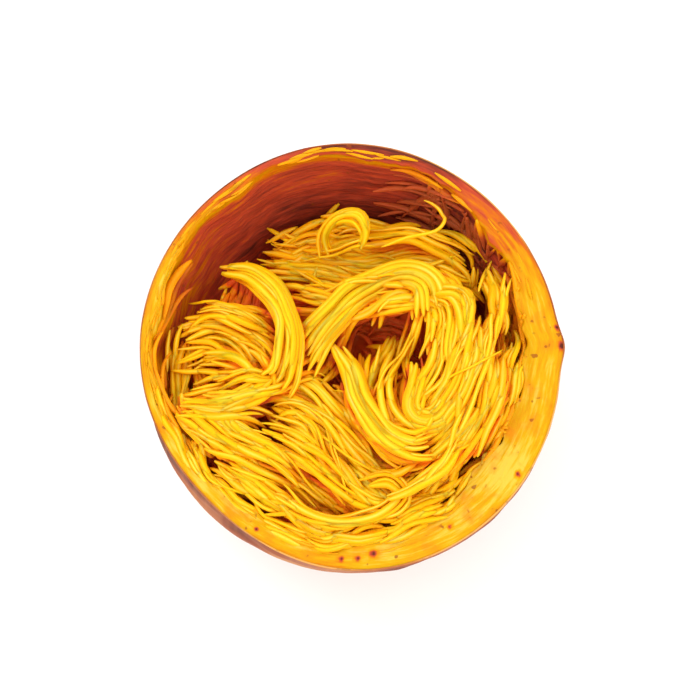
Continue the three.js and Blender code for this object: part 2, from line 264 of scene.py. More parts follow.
def bump(tree, height, strength, distance):
    return node(tree, "ShaderNodeBump", {"Height": height, "Strength": strength,
                                         "Distance": distance}).outputs["Normal"]


def surface(tree, inputs):
    shader = node(tree, "ShaderNodeBsdfPrincipled", inputs)
    node(tree, "ShaderNodeOutputMaterial", {"Surface": shader.outputs["BSDF"]})
    print("finish of", len(tree.nodes), "nodes")


# %% [markdown]
# ## The rind
# The outside is a thin hard skin, tan where it was pale yellow before roasting. It sags and puckers a
# little below the cut. It is made as a closed skin 0.6 mm thick, so that its cut edge shows as a thin line
# round the rim, and it stands on the flat spot at its end.

# %% Relief of the rind
RIND_THICKNESS = 0.6
SIDES = 400
TIGHT_AT_END, FREE_OF_EDGE = (92, 70), (-1, 4)
PUCKER, PUCKER_FADE = (0.45, 9, 3.5, 0), 16  # millimetres, changes in a turn, millimetres along, layer
SLACK, CREASES = (0.7, 2.2, 28, 1), (0.25, 8, 14, 2)
RIB_HEIGHT, RIB_COUNT, RIB_DRIFT, RIBS_FROM = 0.3, 11, (1.5, 1.3, 60, 3), (5, 40)
angles = np.linspace(0, 2 * np.pi, SIDES, endpoint=False)


def relief(kind, along, angle=angles):
    size, per_turn, length, layer = kind
    return size * round_noise(angle, per_turn, along / length, layer)


def ring(radius, height):
    radius, height = np.broadcast_to(radius, angles.shape), np.broadcast_to(height, angles.shape)
    return np.stack([radius * np.cos(angles), radius * np.sin(angles), height], -1)


def rind_ring(depth, inset=0.0):
    pucker = relief(PUCKER, depth) * bell(depth, PUCKER_FADE)
    slack = relief(SLACK, depth) + relief(CREASES, depth)
    ribs = RIB_HEIGHT * np.cos(RIB_COUNT * angles + relief(RIB_DRIFT, depth)) * smooth(depth, *RIBS_FROM)
    loose = smooth(depth, *TIGHT_AT_END) * (pucker + slack + ribs) * smooth(depth, *FREE_OF_EDGE)
    return ring(outer_radius(angles, depth) + loose - inset, (1 - depth / RIM_HEIGHT) * rim_height(angles))


print("pucker at the cut, mm:", np.round(np.abs(relief(PUCKER, 0.0)).max(), 2))

# %% Rings of the rind
FOOT_SHARES = (0.3, 0.6, 0.85, 0.97)
CUT_EDGE = ((0.1, 0.1), (0.35, 0.08), (RIND_THICKNESS, -0.1))  # millimetres in and up
OUTSIDE_RINGS, INSIDE_DEPTHS = 84, np.linspace(1.0, 92.0, 20)
STREAKS_ROUND, STREAK_LENGTH = 29, 45


def round_and_along(per_turn, along):
    """Where each point is on the grain, round the squash and along it, so that noise can be stretched."""
    return np.stack(np.broadcast_arrays(per_turn * np.cos(angles), per_turn * np.sin(angles), along), -1)


foot_turn = math.asin(RIM_HEIGHT / END_DEPTH)
foot_radius = outer_radius(angles, RIM_HEIGHT)
rind_rings = [ring(share * foot_radius, 0.0) for share in FOOT_SHARES]
rind_rings += [rind_ring(depth) for depth in END_DEPTH * np.sin(foot_turn * np.linspace(1, 0, OUTSIDE_RINGS))]
rind_rings += [ring(outer_radius(angles, 0.0) - inset, rim_height(angles) + rise) for inset, rise in CUT_EDGE]
rind_rings = np.array(rind_rings + [rind_ring(depth, RIND_THICKNESS) for depth in INSIDE_DEPTHS])
rind_depth = RIM_HEIGHT - rind_rings[..., 2]
streak = round_and_along(STREAKS_ROUND, rind_depth / STREAK_LENGTH)
print("rind rings:", rind_rings.shape[0], "of", SIDES, "points")

# %% [markdown]
# ### Finish of the rind
# Heat browns the skin in soft blotches, most at the cut edge, and the skin is darker towards its foot. Faint
# pale streaks still run from end to end as they grew. Both come from noise, one of it stretched along the
# streaks. The skin is matt, and a fine pitted bump keeps it from looking like plastic.

# %% Rind finish
rind_finish, tree = new_finish("roasted_rind")
place = node(tree, "ShaderNodeTexCoord").outputs["Object"]
blotch, fine = grain(tree, place, 26, 4), grain(tree, place, 260, 3)
streaks = grain(tree, value_of(tree, "streak", "Vector"), 0.5, 3)
share = joined(tree, "ADD", spread(tree, blotch, 0.3, 0.75), value_of(tree, "browned"))
skin = ramp(tree, share, (0.0, (0.72, 0.36, 0.09)), (0.2, (0.52, 0.20, 0.05)), (0.5, (0.38, 0.10, 0.024)),
            (0.8, (0.27, 0.052, 0.012)), (1.0, (0.15, 0.030, 0.010)))
skin = mix(tree, spread(tree, streaks, 0.5, 0.75, 0, 0.3), skin, (0.60, 0.27, 0.09))
skin = mix(tree, spread(tree, fine, 0.62, 0.72, 0, 0.4), skin, (0.2, 0.07, 0.03))
surface(tree, {"Base Color": skin, "Roughness": spread(tree, blotch, 0.3, 0.7, 0.5, 0.7),
               "Normal": bump(tree, fine, 0.25, 0.0006), "Specular IOR Level": 0.15})

# %% Where the rind is browned
SCORCHED_AT, SCORCHED_OVER = 112, 26
BROWN_PATCHES = (0.22, 1.6, 30, 5)
edge = (0.9 * facing(angles, SCORCHED_AT, SCORCHED_OVER) - 0.8) * bell(rind_depth, 0.6)
below_edge = 0.38 * bell(rind_depth - 6, 8.0)
# darker towards the foot
darker_to_foot = 0.35 * smooth(rind_depth, 55, 95)
patchy = np.array([relief(BROWN_PATCHES, row) for row in rind_depth])
rind = turned_skin("rind", rind_rings, 0.0, RIND_THICKNESS,
                   {"streak": streak, "browned": edge + below_edge + darker_to_foot + patchy})
settle(rind, rind_finish, "rind", "shell")

# %% [markdown]
# ## The flesh on the rind
# Strands of this squash run round it, so the cut shows them end to end along the rim, and the raked wall
# is a mass of broken ones. Fine relief like this could be a bump map, but it is seen against the light at
# the rim. So the rings of the flesh are pushed in and out by noise that is stretched round the squash.

# %% Relief of the flesh
FLESH_INSET = 0.45
UNDER_RIND, UNDER_RIND_FROM = 2.2, 5  # how much deeper it lies below the cut, so that no fold bares it
CUT_RISE = ([0, 0.35, 0.75, 1], [0.0, 0.5, -0.1, -1.2])  # share of the way in, millimetres up
CUT_RELIEF, CUT_LAYER, WALL_LAYER = 0.55, 8, 12
TORN_EDGE, FRAYED_EDGE, EDGE_FADE = (0.16, 14, 1, 4), (0.1, 30, 1, 5), 5
SMOOTH_BACK_AT, SMOOTH_BACK_OVER, SMOOTH_BACK = 112, 36, 0.65


def torn(along, layer):
    """Relief of broken strands: ridges that run round the squash, in millimetres."""
    return relief((0.9, 5.0, 3.2, layer), along) + relief((0.55, 7.0, 1.1, layer + 1), along)


def ragged(base):
    return base + relief(TORN_EDGE, 0.5) + relief(FRAYED_EDGE, 0.5)


def cut_ring(share):
    width = rim_width(angles) * (1 + (ragged(1) - 1) * share)
    radius = outer_radius(angles, 0.0) - FLESH_INSET - share * (width - FLESH_INSET)
    rise = np.interp(share, *CUT_RISE) + CUT_RELIEF * torn(share * width, CUT_LAYER) * smooth(share, 0, 0.2)
    return ring(radius, rim_height(angles) + rise)


def wall_ring(depth):
    rough = 1 - SMOOTH_BACK * facing(angles, SMOOTH_BACK_AT, SMOOTH_BACK_OVER)
    held = rim_width(angles) * ragged(0) * bell(depth, EDGE_FADE)
    radius = inner_radius(angles, depth) - held - rough * torn(depth, WALL_LAYER)
    return ring(radius, rim_height(angles) - depth)


def hidden_ring(depth):
    inset = UNDER_RIND * smooth(depth, 0, UNDER_RIND_FROM)
    return ring(outer_radius(angles, depth) - FLESH_INSET - inset, RIM_HEIGHT - depth)


print("relief of the wall, mm:", np.round(np.abs(torn(10.0, WALL_LAYER)).max(), 2))

# %% Rings of the flesh
CUT_RINGS, HIDDEN_DEPTHS, WALL_END = 22, np.linspace(92, 2, 14), 67.0
FIBRES_ROUND, FIBRE_WIDTH = 6, 1.3
wall_depths = np.concatenate([np.linspace(1.6, 30, 46), np.linspace(31, WALL_END, 26)])
flesh_rings = [hidden_ring(depth) for depth in HIDDEN_DEPTHS]
flesh_rings += [cut_ring(share) for share in np.linspace(0, 1, CUT_RINGS)]
flesh_rings += [wall_ring(depth) for depth in wall_depths]
flesh_rings += [ring(0.6 * inner_radius(angles, WALL_END), RIM_HEIGHT - CAVITY_DEPTH + 4)]
flesh_rings = np.array(flesh_rings)
steps = np.linalg.norm(np.diff(flesh_rings, axis=0, prepend=flesh_rings[:1]), axis=-1)
fibre = round_and_along(FIBRES_ROUND, np.cumsum(steps, axis=0) / FIBRE_WIDTH)
flesh_depth = RIM_HEIGHT - flesh_rings[..., 2]
print("flesh rings:", flesh_rings.shape[0])


# %% [markdown]
# ### Where the flesh is browned
# The bare wall at the back stood up into the hot air and is red-brown, and lower down, deep in the bowl, it
# is painted darker as painted shade. The rest is golden, and brown only in torn edges and close to the rind.
# One formula gives that for any angle and depth, so that the strands that still hang on the wall can ask for
# the same brown and shade.

# %% Browning by angle and depth
BROWN_STREAKS, BROWN_CLOUDS = (1, 5, 2.2, 20), (0.6, 9, 6, 21)


def browned_at(angle, depth):
    back = facing(angle, 105, 47)
    wall = smooth(depth, 2.0, 8)
    streaky = relief(BROWN_STREAKS, depth, angle) + relief(BROWN_CLOUDS, depth, angle)
    # painted shade: the back wall is painted darker lower down, deep in the bowl
    painted_shade_low_down = 0.15 * smooth(depth, 16, 38)
    side = 0.24 - 0.12 * back + 0.36 * facing(angle, 48, 18)
    return np.clip(0.12 + wall * (side + (0.46 + painted_shade_low_down) * back) + (0.12 - 0.06 * back) * streaky, 0, 1)


SPECKS = [  # angle, millimetres in from the rind, size
    (268, 3.6, 0.6), (272.5, 4, 0.6), (277, 5.5, 0.95), (324, 3, 0.7), (2, 0.8, 0.8), (7, 0.8, 0.6),
    (300, 6, 0.5), (243, 3, 0.5)]
flesh_brown = np.array([browned_at(angles, row) for row in flesh_depth])
from_rind = outer_radius(angles, 0.0) - np.hypot(flesh_rings[..., 0], flesh_rings[..., 1])
on_cut = bell(flesh_depth, 2.0)
flesh_brown += 0.15 * on_cut * bell(from_rind - 0.8, 0.8)
flesh_brown += 0.68 * on_cut * facing(angles, 82, 36)
for at, inward, size in SPECKS:
    beside_it = RIM_RADIUS * turn_between(angles, np.radians(at))
    flesh_brown += 1.1 * on_cut * bell(np.hypot(beside_it, from_rind - inward), size)
print("browned share of the wall:", round(float((flesh_brown > 0.5).mean()), 2))

# %% [markdown]
# ### Finish of the flesh
# Cooked flesh is wet, dense and a little translucent: light goes in and comes out warmer, which subsurface
# scattering gives. The colour follows the browning, broken up by noise stretched along the fibres.

# %% Flesh finish and piece
PALE, GOLD, AMBER = (0.72, 0.50, 0.05), (0.67, 0.37, 0.0), (0.65, 0.27, 0.0)
ORANGE, RUST, CHAR = (0.62, 0.15, 0.002), (0.52, 0.064, 0.024), (0.11, 0.02, 0.012)

flesh_finish, tree = new_finish("cut_flesh")
place = node(tree, "ShaderNodeTexCoord").outputs["Object"]
fibres = grain(tree, value_of(tree, "fibre", "Vector"), 1.0, 4, 0.6)
patches, specks = grain(tree, place, 170, 3), grain(tree, place, 340, 1)
share = joined(tree, "ADD", spread(tree, fibres, 0.3, 0.7, -0.17, 0.17), value_of(tree, "browned"))
colour = ramp(tree, share, (0.0, PALE), (0.14, GOLD), (0.32, AMBER), (0.46, ORANGE), (0.64, RUST),
              (1.0, CHAR))
blotches = joined(tree, "MULTIPLY", spread(tree, patches, 0.5, 0.7, 0, 0.6), spread(tree, share, 0.45, 0.2))
colour = mix(tree, blotches, colour, (0.74, 0.22, 0.004))
colour = mix(tree, spread(tree, specks, 0.7, 0.76, 0, 0.75), colour, (0.30, 0.06, 0.008))
surface(tree, {"Base Color": colour, "Roughness": spread(tree, fibres, 0.3, 0.7, 0.3, 0.55),
               "Normal": bump(tree, fibres, 0.5, 0.0007), "Specular IOR Level": 0.1,
               "Subsurface Weight": 0.25, "Subsurface Radius": (1.0, 0.8, 0.3), "Subsurface Scale": 0.0008})

flesh = turned_skin("flesh", flesh_rings, RIND_THICKNESS, RIM_HEIGHT - CAVITY_DEPTH,
                    {"fibre": fibre, "browned": flesh_brown})
settle(flesh, flesh_finish, "flesh", "shell")

# %% [markdown]
# ## A strand
# One strand is a flat, limp ribbon, one to two and a half millimetres wide, that narrows to torn ends and
# rolls from side to side as it lies. A curve with a bevel could make it, but each needs its own width,
# thickness and roll. So rings of six points are set across a path, and a bundle collects many strands into
# one mesh.

# %% Strands and bundles
STRAND_SIDES = 6
STEP = 1.5
END_TAPER, END_WIDTH, TAPER_CURVE = 6.0, 0.3, 0.6
UNEVEN, UNEVEN_LENGTH, GRAIN_LENGTH, GRAIN_APART = 0.2, 6, 9, 3.7
NOISE_SPAN = 40
HALF_SIDE = np.pi / STRAND_SIDES
around = np.linspace(0, 2 * np.pi, STRAND_SIDES, endpoint=False) + HALF_SIDE
widest = np.cos(around) / np.cos(HALF_SIDE)


def from_ends(path):
    """How far each point of a path is from the nearer end."""
    return np.minimum(np.arange(len(path)), np.arange(len(path))[::-1]) * STEP


class Bundle:
    """Strands that become one piece."""

    def __init__(self, name):
        self.name = name
        self.strands = []

    def add(self, path, width, thickness, tone, browned=0.0, roll=0.3):
        turning = rng.normal(0, roll) + rng.normal(0, 1.3 * roll) * np.linspace(-1, 1, len(path))
        self.strands.append((path, width, thickness, turning, tone, browned + np.zeros(len(path))))

    def rings(self, path, width, thickness, roll):
        run = np.arange(len(path)) * STEP
        uneven = 1 + UNEVEN * noise(run / UNEVEN_LENGTH, rng.uniform(0, NOISE_SPAN), 0.5)
        taper = END_WIDTH + (1 - END_WIDTH) * (from_ends(path) / END_TAPER) ** TAPER_CURVE
        full = (np.clip(taper, 0, 1) * uneven)[:, None, None]
        along = np.gradient(path, axis=0)
        along /= np.linalg.norm(along, axis=1, keepdims=True)
        side = np.cross(along, [0, 0, 1])
        side /= np.maximum(np.linalg.norm(side, axis=1, keepdims=True), 1e-6)
        up = np.cross(side, along)
        across = side * np.cos(roll)[:, None] + up * np.sin(roll)[:, None]
        above = up * np.cos(roll)[:, None] - side * np.sin(roll)[:, None]
        return (path[:, None] + width / 2 * full * widest[:, None] * across[:, None]
                + thickness / 2 * full * np.sin(around)[:, None] * above[:, None])

    def make(self, painted_shade_depth):
        points, faces, tones, grains, browns, crests = [], [], [], [], [], []
        first = 0
        for number, (path, width, thickness, roll, tone, browned) in enumerate(self.strands):
            rings = self.rings(path, width, thickness, roll)
            rows = len(rings)
            corner = first + np.arange(rows * STRAND_SIDES).reshape(rows, STRAND_SIDES)
            beside = np.roll(corner, -1, axis=1)
            faces += np.stack([corner[:-1], corner[1:], beside[1:], beside[:-1]], -1).reshape(-1, 4).tolist()
            faces += [corner[0].tolist(), corner[-1][::-1].tolist()]
            crest = np.tile(np.sin(around), rows)
            length = np.repeat(np.arange(rows) * STEP / GRAIN_LENGTH, STRAND_SIDES) + GRAIN_APART * number
            points.append(rings.reshape(-1, 3))
            tones.append(np.full(rows * STRAND_SIDES, tone))
            browns.append(np.repeat(browned, STRAND_SIDES))
            crests.append(crest)
            grains.append(np.stack([length, np.tile(np.cos(around), rows), crest], -1))
            first += rows * STRAND_SIDES
        points = np.vstack(points)
        values = {"tone": np.concatenate(tones), "browned": np.concatenate(browns),
                  "grain": np.vstack(grains), "crest": np.concatenate(crests), "painted_shade_depth": painted_shade_depth(points)}
        return mesh_piece(self.name, points, faces, values)


print("a strand has", STRAND_SIDES, "points round it and a ring every", STEP, "mm")

# %% [markdown]
# ## How strands come to rest
# Loose strands lie on whatever is under them. A physics run of hundreds of soft strands is slow and hard to
# steer. Instead a map of heights, seen from above, starts as the solid shell and bed. Each strand is let
# down on it, droops over what holds it up, and is then added to the map for the next one. A second map
# keeps the space under the arched pieces free.

# %% The map of heights
CELL, REACH = 0.6, 78.0
ABOVE_ALL = 200
BED_SUNK = 2.0
cells = int(2 * REACH / CELL)
cell_middles = (np.arange(cells) + 0.5) * CELL - REACH


def tree_of(name):
    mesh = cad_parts[name].data
    return BVHTree.FromPolygons([v.co for v in mesh.vertices], [p.vertices for p in mesh.polygons])


def seen_from(tree, x, y, start, direction):
    hit = tree.ray_cast(Vector((x * MM, y * MM, start * MM)), Vector((0, 0, direction)))[0]
    return None if hit is None else hit.z / MM


def top_at(tree, x, y):
    return seen_from(tree, x, y, ABOVE_ALL, -1)


def underside_at(tree, x, y):
    return seen_from(tree, x, y, 0, 1)


shell_tree, bed_tree = tree_of("shell"), tree_of("strand_bed")
heights = np.zeros((cells, cells))
for i, x in enumerate(cell_middles):
    for j, y in enumerate(cell_middles):
        if math.hypot(x, y) < REACH:
            heights[i, j] = max((top_at(bed_tree, x, y) or 0) - BED_SUNK, top_at(shell_tree, x, y) or 0)
ground = heights.copy()
print("heights of the shell and bed, mm:", np.round([heights[heights > 0].min(), heights.max()], 1))

# %% The space under the arched pieces
ON_TOP = ("bunch_arch", "ribbon_middle", "ribbon_left", "loop_front", "curl_back", "loop_back",
          "strand_front_right")
ARCHED = RIM_HEIGHT - 8  # an underside that is lower lies on the bed
ceiling = np.full((cells, cells), np.inf)
for name in ON_TOP:
    solid = tree_of(name)
    reach = np.array([v.co[:2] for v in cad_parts[name].data.vertices]) / MM
    for i, j in np.ndindex(cells, cells):
        x, y = cell_middles[i], cell_middles[j]
        if reach[:, 0].min() < x < reach[:, 0].max() and reach[:, 1].min() < y < reach[:, 1].max():
            under = underside_at(solid, x, y) or 0
            ceiling[i, j] = min(ceiling[i, j], under if under > ARCHED else np.inf)
print("arched over, square mm:", round(float(np.isfinite(ceiling).sum() * CELL**2)))

# %% Let something down on the map
TOW_BEND, STRAY_BEND = 10.0, 4.0
LIES_ON = 75  # in a hundred of the heights under it are no higher
EASED_OVER = 5
COVERS, COUNTS_UP_TO = 0.4, 0.35  # shares of a strand's width and thickness that the map takes over


def disc(radius):
    reach = int(radius / CELL)
    return np.array([(i, j) for i in range(-reach, reach + 1) for j in range(-reach, reach + 1)
                     if math.hypot(i, j) * CELL <= radius])


def cells_near(plan, radius):
    middle = np.floor((plan + REACH) / CELL).astype(int)
    near = middle[:, None, :] + disc(radius)[None]
    return np.clip(near, 0, cells - 1)


def resting(plan, radius, held_at, bend, most):
    """How high something that wide lies along plan, its line seen from above, when it bends that tightly."""
    under = cells_near(plan, radius)
    below = np.percentile(heights[under[..., 0], under[..., 1]], LIES_ON, axis=1)
    below = np.maximum(below, held_at)
    run = np.arange(len(plan)) * STEP
    droop = (run[:, None] - run[None]) ** 2 / (2 * bend)
    height = np.minimum((below[None] - droop).max(axis=1), most)
    padded = np.pad(height, EASED_OVER // 2, mode="edge")
    return np.convolve(padded, np.ones(EASED_OVER) / EASED_OVER, mode="valid")


def heap_up(path, width, thickness):
    covered = cells_near(path[:, :2], COVERS * width)
    top = np.broadcast_to((path[:, 2] + COUNTS_UP_TO * thickness)[:, None], covered.shape[:2])
    np.maximum.at(heights, (covered[..., 0], covered[..., 1]), top)


print("cells under a disc of 2 mm:", len(disc(2.0)))

# %% [markdown]
# ## A tow of strands
# Cooked strands cling: they lie side by side in tows of a few, flat like a ribbon, and only part at their
# torn ends. Laying strands one by one gives a heap of straw. So a whole tow is let down at once, and its
# strands share one height, each with a little wander of its own. What would run into the wall is cut off,
# and torn ends are tucked in among the strands below.

# %% Where a tow may lie
FEWEST_POINTS = 9
TUCKED_OVER = 9.0
BED_LEVEL, HOLLOW_FLOOR = RIM_HEIGHT - 18, RIM_HEIGHT - 20
OPEN_HOLLOWS = [  # x, y, radius
    (-45, 33, 10), (-35, 27, 7), (-53, 28, 7), (-40, 45, 9), (4, 10, 3), (47, 17, 3)]


def inside(plan, clear, height=BED_LEVEL):
    """The longest stretch of a line, seen from above, that is clear of wall and hollows at that height."""
    angle = np.arctan2(plan[:, 1], plan[:, 0])
    free = np.hypot(*plan.T) < inner_radius(angle, np.clip(RIM_HEIGHT - height, 4, 60)) - clear
    for x, y, reach in OPEN_HOLLOWS:
        free &= (np.hypot(plan[:, 0] - x, plan[:, 1] - y) > reach) | (height < HOLLOW_FLOOR)
    turns = np.flatnonzero(np.diff(np.concatenate([[0], free.astype(int), [0]]))).reshape(-1, 2)
    first, last = max(turns, key=lambda ends: ends[1] - ends[0], default=(0, 0))
    return slice(first, last)


def beside(plan):
    along = np.gradient(plan, axis=0)
    return np.column_stack([along[:, 1], -along[:, 0]]) / np.linalg.norm(along, axis=1, keepdims=True)


def own_wander(run, length, layer):
    return noise(run / length, rng.uniform(0, NOISE_SPAN), layer)


def tucked(path, depth):
    """The same strand with its ends pushed down among the strands below."""
    return path - np.outer(depth * (1 - smooth(from_ends(path), 0, TUCKED_OVER)), [0, 0, 1])


print("hollows that stay open:", len(OPEN_HOLLOWS))


# %% Let a tow down on the pile
def lay_tow(bundle, plan, count, tone, held_at=0.0, pitch=1.25, parting=0.8, crown=0.3, ragged=9.0,
            narrow=1.0, widths=(1.1, 2.5), bend=TOW_BEND, wander=1.7, tuck=2.2, trim=True, flat=(0.45, 0.7),
            most=np.inf):
    """Strands side by side along plan. They part towards the ends, and narrow draws them in on the way."""
    if len(plan) < FEWEST_POINTS:
        return
    share, run = np.linspace(0, 1, len(plan)), np.arange(len(plan)) * STEP
    if trim:
        here = cells_near(plan, 0.0)[:, 0]
        most = np.minimum(most, ceiling[here[:, 0], here[:, 1]] - 1)
    side, height = beside(plan), resting(plan, 0.3 * pitch * count, held_at, bend, most)
    part = (1 + parting * np.abs(2 * share - 1) ** 3) * narrow
    tilt = rng.normal(0, 0.1)
    for place in np.arange(count) - (count - 1) / 2:
        width = rng.uniform(*widths)
        thickness = rng.uniform(*flat) * width
        across = (place + rng.normal(0, 0.25)) * pitch * part + wander * own_wander(run, 11, 0.5)
        crowned = crown * (1 - (2 * place / count) ** 2)
        lift = crowned + tilt * across + 0.3 * wander * own_wander(run, 12, 1.5)
        path = np.column_stack([plan + side * across[:, None], height + 0.4 * thickness + lift])
        path = path[inside(path[:, :2], 0.5, path[:, 2])] if trim else path
        first, last = (int(rng.uniform(0, ragged) / STEP) for _ in range(2))
        path = path[first:len(path) - last]
        if len(path) >= FEWEST_POINTS:
            path = tucked(path, rng.uniform(0.3, 1) * tuck)
            bundle.add(path, width, thickness, np.clip(tone + rng.normal(0, 0.2), 0, 1), roll=0.2)
            heap_up(path, width, thickness)


# %% [markdown]
# ## The bed of strands
# Most of the strands still lie roughly the way they grew, round the squash, in drifts of neighbours that
# run side by side. Scattering them at random looks like hay. Letting each tow follow a slowly changing flow
# gives the drifts. More tows then follow the wall, where the raked flesh is banked up.

# %% Tows that follow a flow
BED_TOWS, BED_REACH = 150, 58
SWIRL, SWIRL_LENGTH = 1.3, 18


def random_spot(within):
    angle, radius = rng.uniform(0, 2 * np.pi), within * math.sqrt(rng.uniform(0, 1))
    return radius * math.cos(angle), radius * math.sin(angle)


def flow_line(start, length, turn):
    half = max(4, int(length / STEP / 2))
    sides = []
    for way in (-1, 1):
        point, line = np.array(start, float), []
        for _ in range(half):
            grown = math.atan2(point[1], point[0]) + math.pi / 2
            swirl = SWIRL * float(noise(point[0] / SWIRL_LENGTH, point[1] / SWIRL_LENGTH, 3.3)) + turn
            point = point + way * STEP * np.array([math.cos(grown + swirl), math.sin(grown + swirl)])
            line.append(point)
        sides.append(line)
    plan = np.array(sides[0][::-1] + [np.array(start, float)] + sides[1])
    return plan[inside(plan, 1.5)]


bed = Bundle("strand_bed_fine")
for _ in range(BED_TOWS):
    plan = flow_line(random_spot(BED_REACH), rng.uniform(18, 42), rng.normal(0, 0.35))
    lay_tow(bed, plan, rng.integers(2, 6), rng.uniform(0, 0.7))
print("bed strands that follow the flow:", len(bed.strands))

# %% Tows that follow the wall
RINGS = [  # tows, from and to angle, from and to radius, held at
    (60, 165, 300, 52, 66, RIM_HEIGHT - 13), (25, 300, 400, 50, 62, 0.0),
    (26, 58, 126, 44, 55, RIM_HEIGHT - 27)]


def round_plan(radius, angle):
    return np.column_stack([radius * np.cos(angle), radius * np.sin(angle)])


for tows, first, last, near, far, held_at in RINGS:
    for _ in range(tows):
        run = np.arange(0, rng.uniform(18, 45), STEP)
        angle = rng.uniform(np.radians(first), np.radians(last) - run[-1] / BED_REACH) + run / BED_REACH
        plan = round_plan(rng.uniform(near, far) + 4 * own_wander(run, 16, 5.5), angle)
        plan = plan[inside(plan, 0.6)]
        lay_tow(bed, plan, rng.integers(2, 5), rng.uniform(0.1, 0.7), held_at + rng.normal(0, 1.5))
print("bed strands:", len(bed.strands))

# %% [markdown]
# ## Bunches
# On the bed lie the bunches that the raking dragged together. Each follows the line of its solid. Inside a
# bunch, tows drift across each other, and a few strays cross them. The lower half fills the space under the
# solid, and the upper half is held at the solid's own height.

# %% Lines of the bunches
BUNCHES = [  # name, half width, tows, strays, tone, line seen from above
    ("bunch_right_wall", 5.5, 9, 6, 0.35, [(47, -2), (47, -15), (42, -27), (34, -37), (24, -45)]),
    ("bunch_left_sweep", 6.5, 11, 5, 0.5, [(-57, -18), (-43, -16), (-28, -12), (-17, -2)]),
    ("bunch_front_left", 9, 15, 7, 0.5, [(-54, -23), (-44, -32), (-31, -39), (-19, -46), (-11, -53)]),
    ("bunch_front_middle", 10, 15, 6, 0.5, [(-23, -15), (-11, -22), (-3, -34), (6, -44), (16, -49)]),
    ("bunch_left_heap", 9, 14, 7, 0.65, [(-57, 5), (-46, 7), (-36, 2), (-30, -8)]),
    ("bunch_back", 8, 15, 7, 0.5, [(-30, 42), (-14, 38), (6, 34), (24, 35), (41, 28)]),
    ("bunch_right_swirl", 7.5, 13, 4, 0.6, [(18, 3), (13, -11), (17, -22), (26, -24), (32, -15), (34, 1)]),
    ("bunch_right_fall", 6, 12, 5, 0.6, [(49, 27), (47, 15), (42, 1), (36, -13), (28, -25)]),
]


def smooth_line(corners):
    """A line through the corners that bends smoothly, with a point every step."""
    corners = np.array(corners, float)
    ends = np.vstack([2 * corners[0] - corners[1], corners, 2 * corners[-1] - corners[-2]])
    t = np.linspace(0, 1, 40, endpoint=False)[:, None]
    dense = []
    for before, a, b, after in zip(ends, ends[1:], ends[2:], ends[3:]):
        dense.append(0.5 * (2 * a + (b - before) * t + (2 * before - 5 * a + 4 * b - after) * t**2
                            + (3 * a - before - 3 * b + after) * t**3))
    dense = np.vstack(dense + [corners[-1:]])
    run = np.concatenate([[0], np.cumsum(np.linalg.norm(np.diff(dense, axis=0), axis=1))])
    even = np.arange(0, run[-1], STEP)
    return np.column_stack([np.interp(even, run, dense[:, k]) for k in (0, 1)])


print("lengths of the bunches, mm:", [round(STEP * len(smooth_line(bunch[-1]))) for bunch in BUNCHES])

# %% Tows and strays of a bunch
DRIFT, BUNCH_WANDER = 0.9, 2.5
STRAYS_WITHIN = 48.0


def stretched(line, by):
    """The line made longer, straight on at both ends."""
    more = STEP * np.arange(1, int(by / STEP) + 1)[:, None]
    start, end = (line[0] - line[2]) / (2 * STEP), (line[-1] - line[-3]) / (2 * STEP)
    return np.vstack([(line[0] + more * start)[::-1], line, line[-1] + more * end])


def tow_plan(line, half_width):
    """A stretch of the bunch's line that drifts across the bunch."""
    length = rng.uniform(0.6, 1.0)
    begin = rng.uniform(0, 1 - length)
    stretch = line[int(begin * len(line)):max(int((begin + length) * len(line)), FEWEST_POINTS)]
    share, run = np.linspace(0, 1, len(stretch)), np.arange(len(stretch)) * STEP
    start = rng.uniform(-1, 1) * half_width
    end = np.clip(start + rng.normal(0, DRIFT) * half_width, -half_width, half_width)
    across = start + (end - start) * share + BUNCH_WANDER * own_wander(run, 18, 2.5)
    plan = stretch + beside(stretch) * across[:, None]
    return plan[inside(plan, 1.2)]


def stray_plan(line, half_width):
    start = line[rng.integers(len(line))] + rng.normal(0, 0.5 * half_width, 2)
    run = np.arange(0, rng.uniform(14, 32), STEP)
    turns = rng.uniform(0, 2 * np.pi) + rng.normal(0, 0.05) * run + 1.4 * own_wander(run, 10, 3.5)
    plan = start + STEP * np.cumsum(np.column_stack([np.cos(turns), np.sin(turns)]), axis=0)
    return plan[:np.argmax(np.append(np.hypot(*plan.T), REACH) > STRAYS_WITHIN)]


print("strays stay within", STRAYS_WITHIN, "mm of the middle")

# %% Let the bunches down on the bed
LONGER, NARROWER = 6.0, 1.5
LOWER_SHARE, SUNK_IN = 0.45, 0.5


def held_by(tree, plan):
    """How high the underside of a solid is along a line, and on past it the nearest such height."""
    under = np.array([underside_at(tree, x, y) or 0.0 for x, y in plan])
    over_it = np.flatnonzero(under)
    return np.interp(np.arange(len(plan)), over_it, under[over_it]) if len(over_it) else under


def top_of(tree, plan):
    return np.array([top_at(tree, x, y) or np.inf for x, y in plan])


pieces = []
for name, half_width, tows, strays, tone, corners in BUNCHES:
    bundle, line, solid = Bundle(name + "_fine"), stretched(smooth_line(corners), LONGER), tree_of(name)
    for number in range(tows):
        plan = tow_plan(line, half_width - NARROWER)
        strands = rng.integers(2, 7)
        held_at = held_by(solid, plan) - SUNK_IN if number >= LOWER_SHARE * tows else 0.0
        lay_tow(bundle, plan, strands, tone, held_at, most=top_of(solid, plan))
    for _ in range(strays):
        lay_tow(bundle, stray_plan(line, half_width), 1, tone, parting=0, ragged=0, bend=STRAY_BEND)
    pieces.append((name, bundle))
print("strands in bunches:", sum(len(bundle.strands) for _, bundle in pieces))

# %% [markdown]
# ### Strands between the bunches
# No real heap has empty valleys between its bunches: strands that were not dragged along lie in them. Random
# places are tried, the deepest valleys first. Where the pile lies well below what is round it, a tow is let
# down along the way that the nearest bunch runs. A few raked hollows stay open.

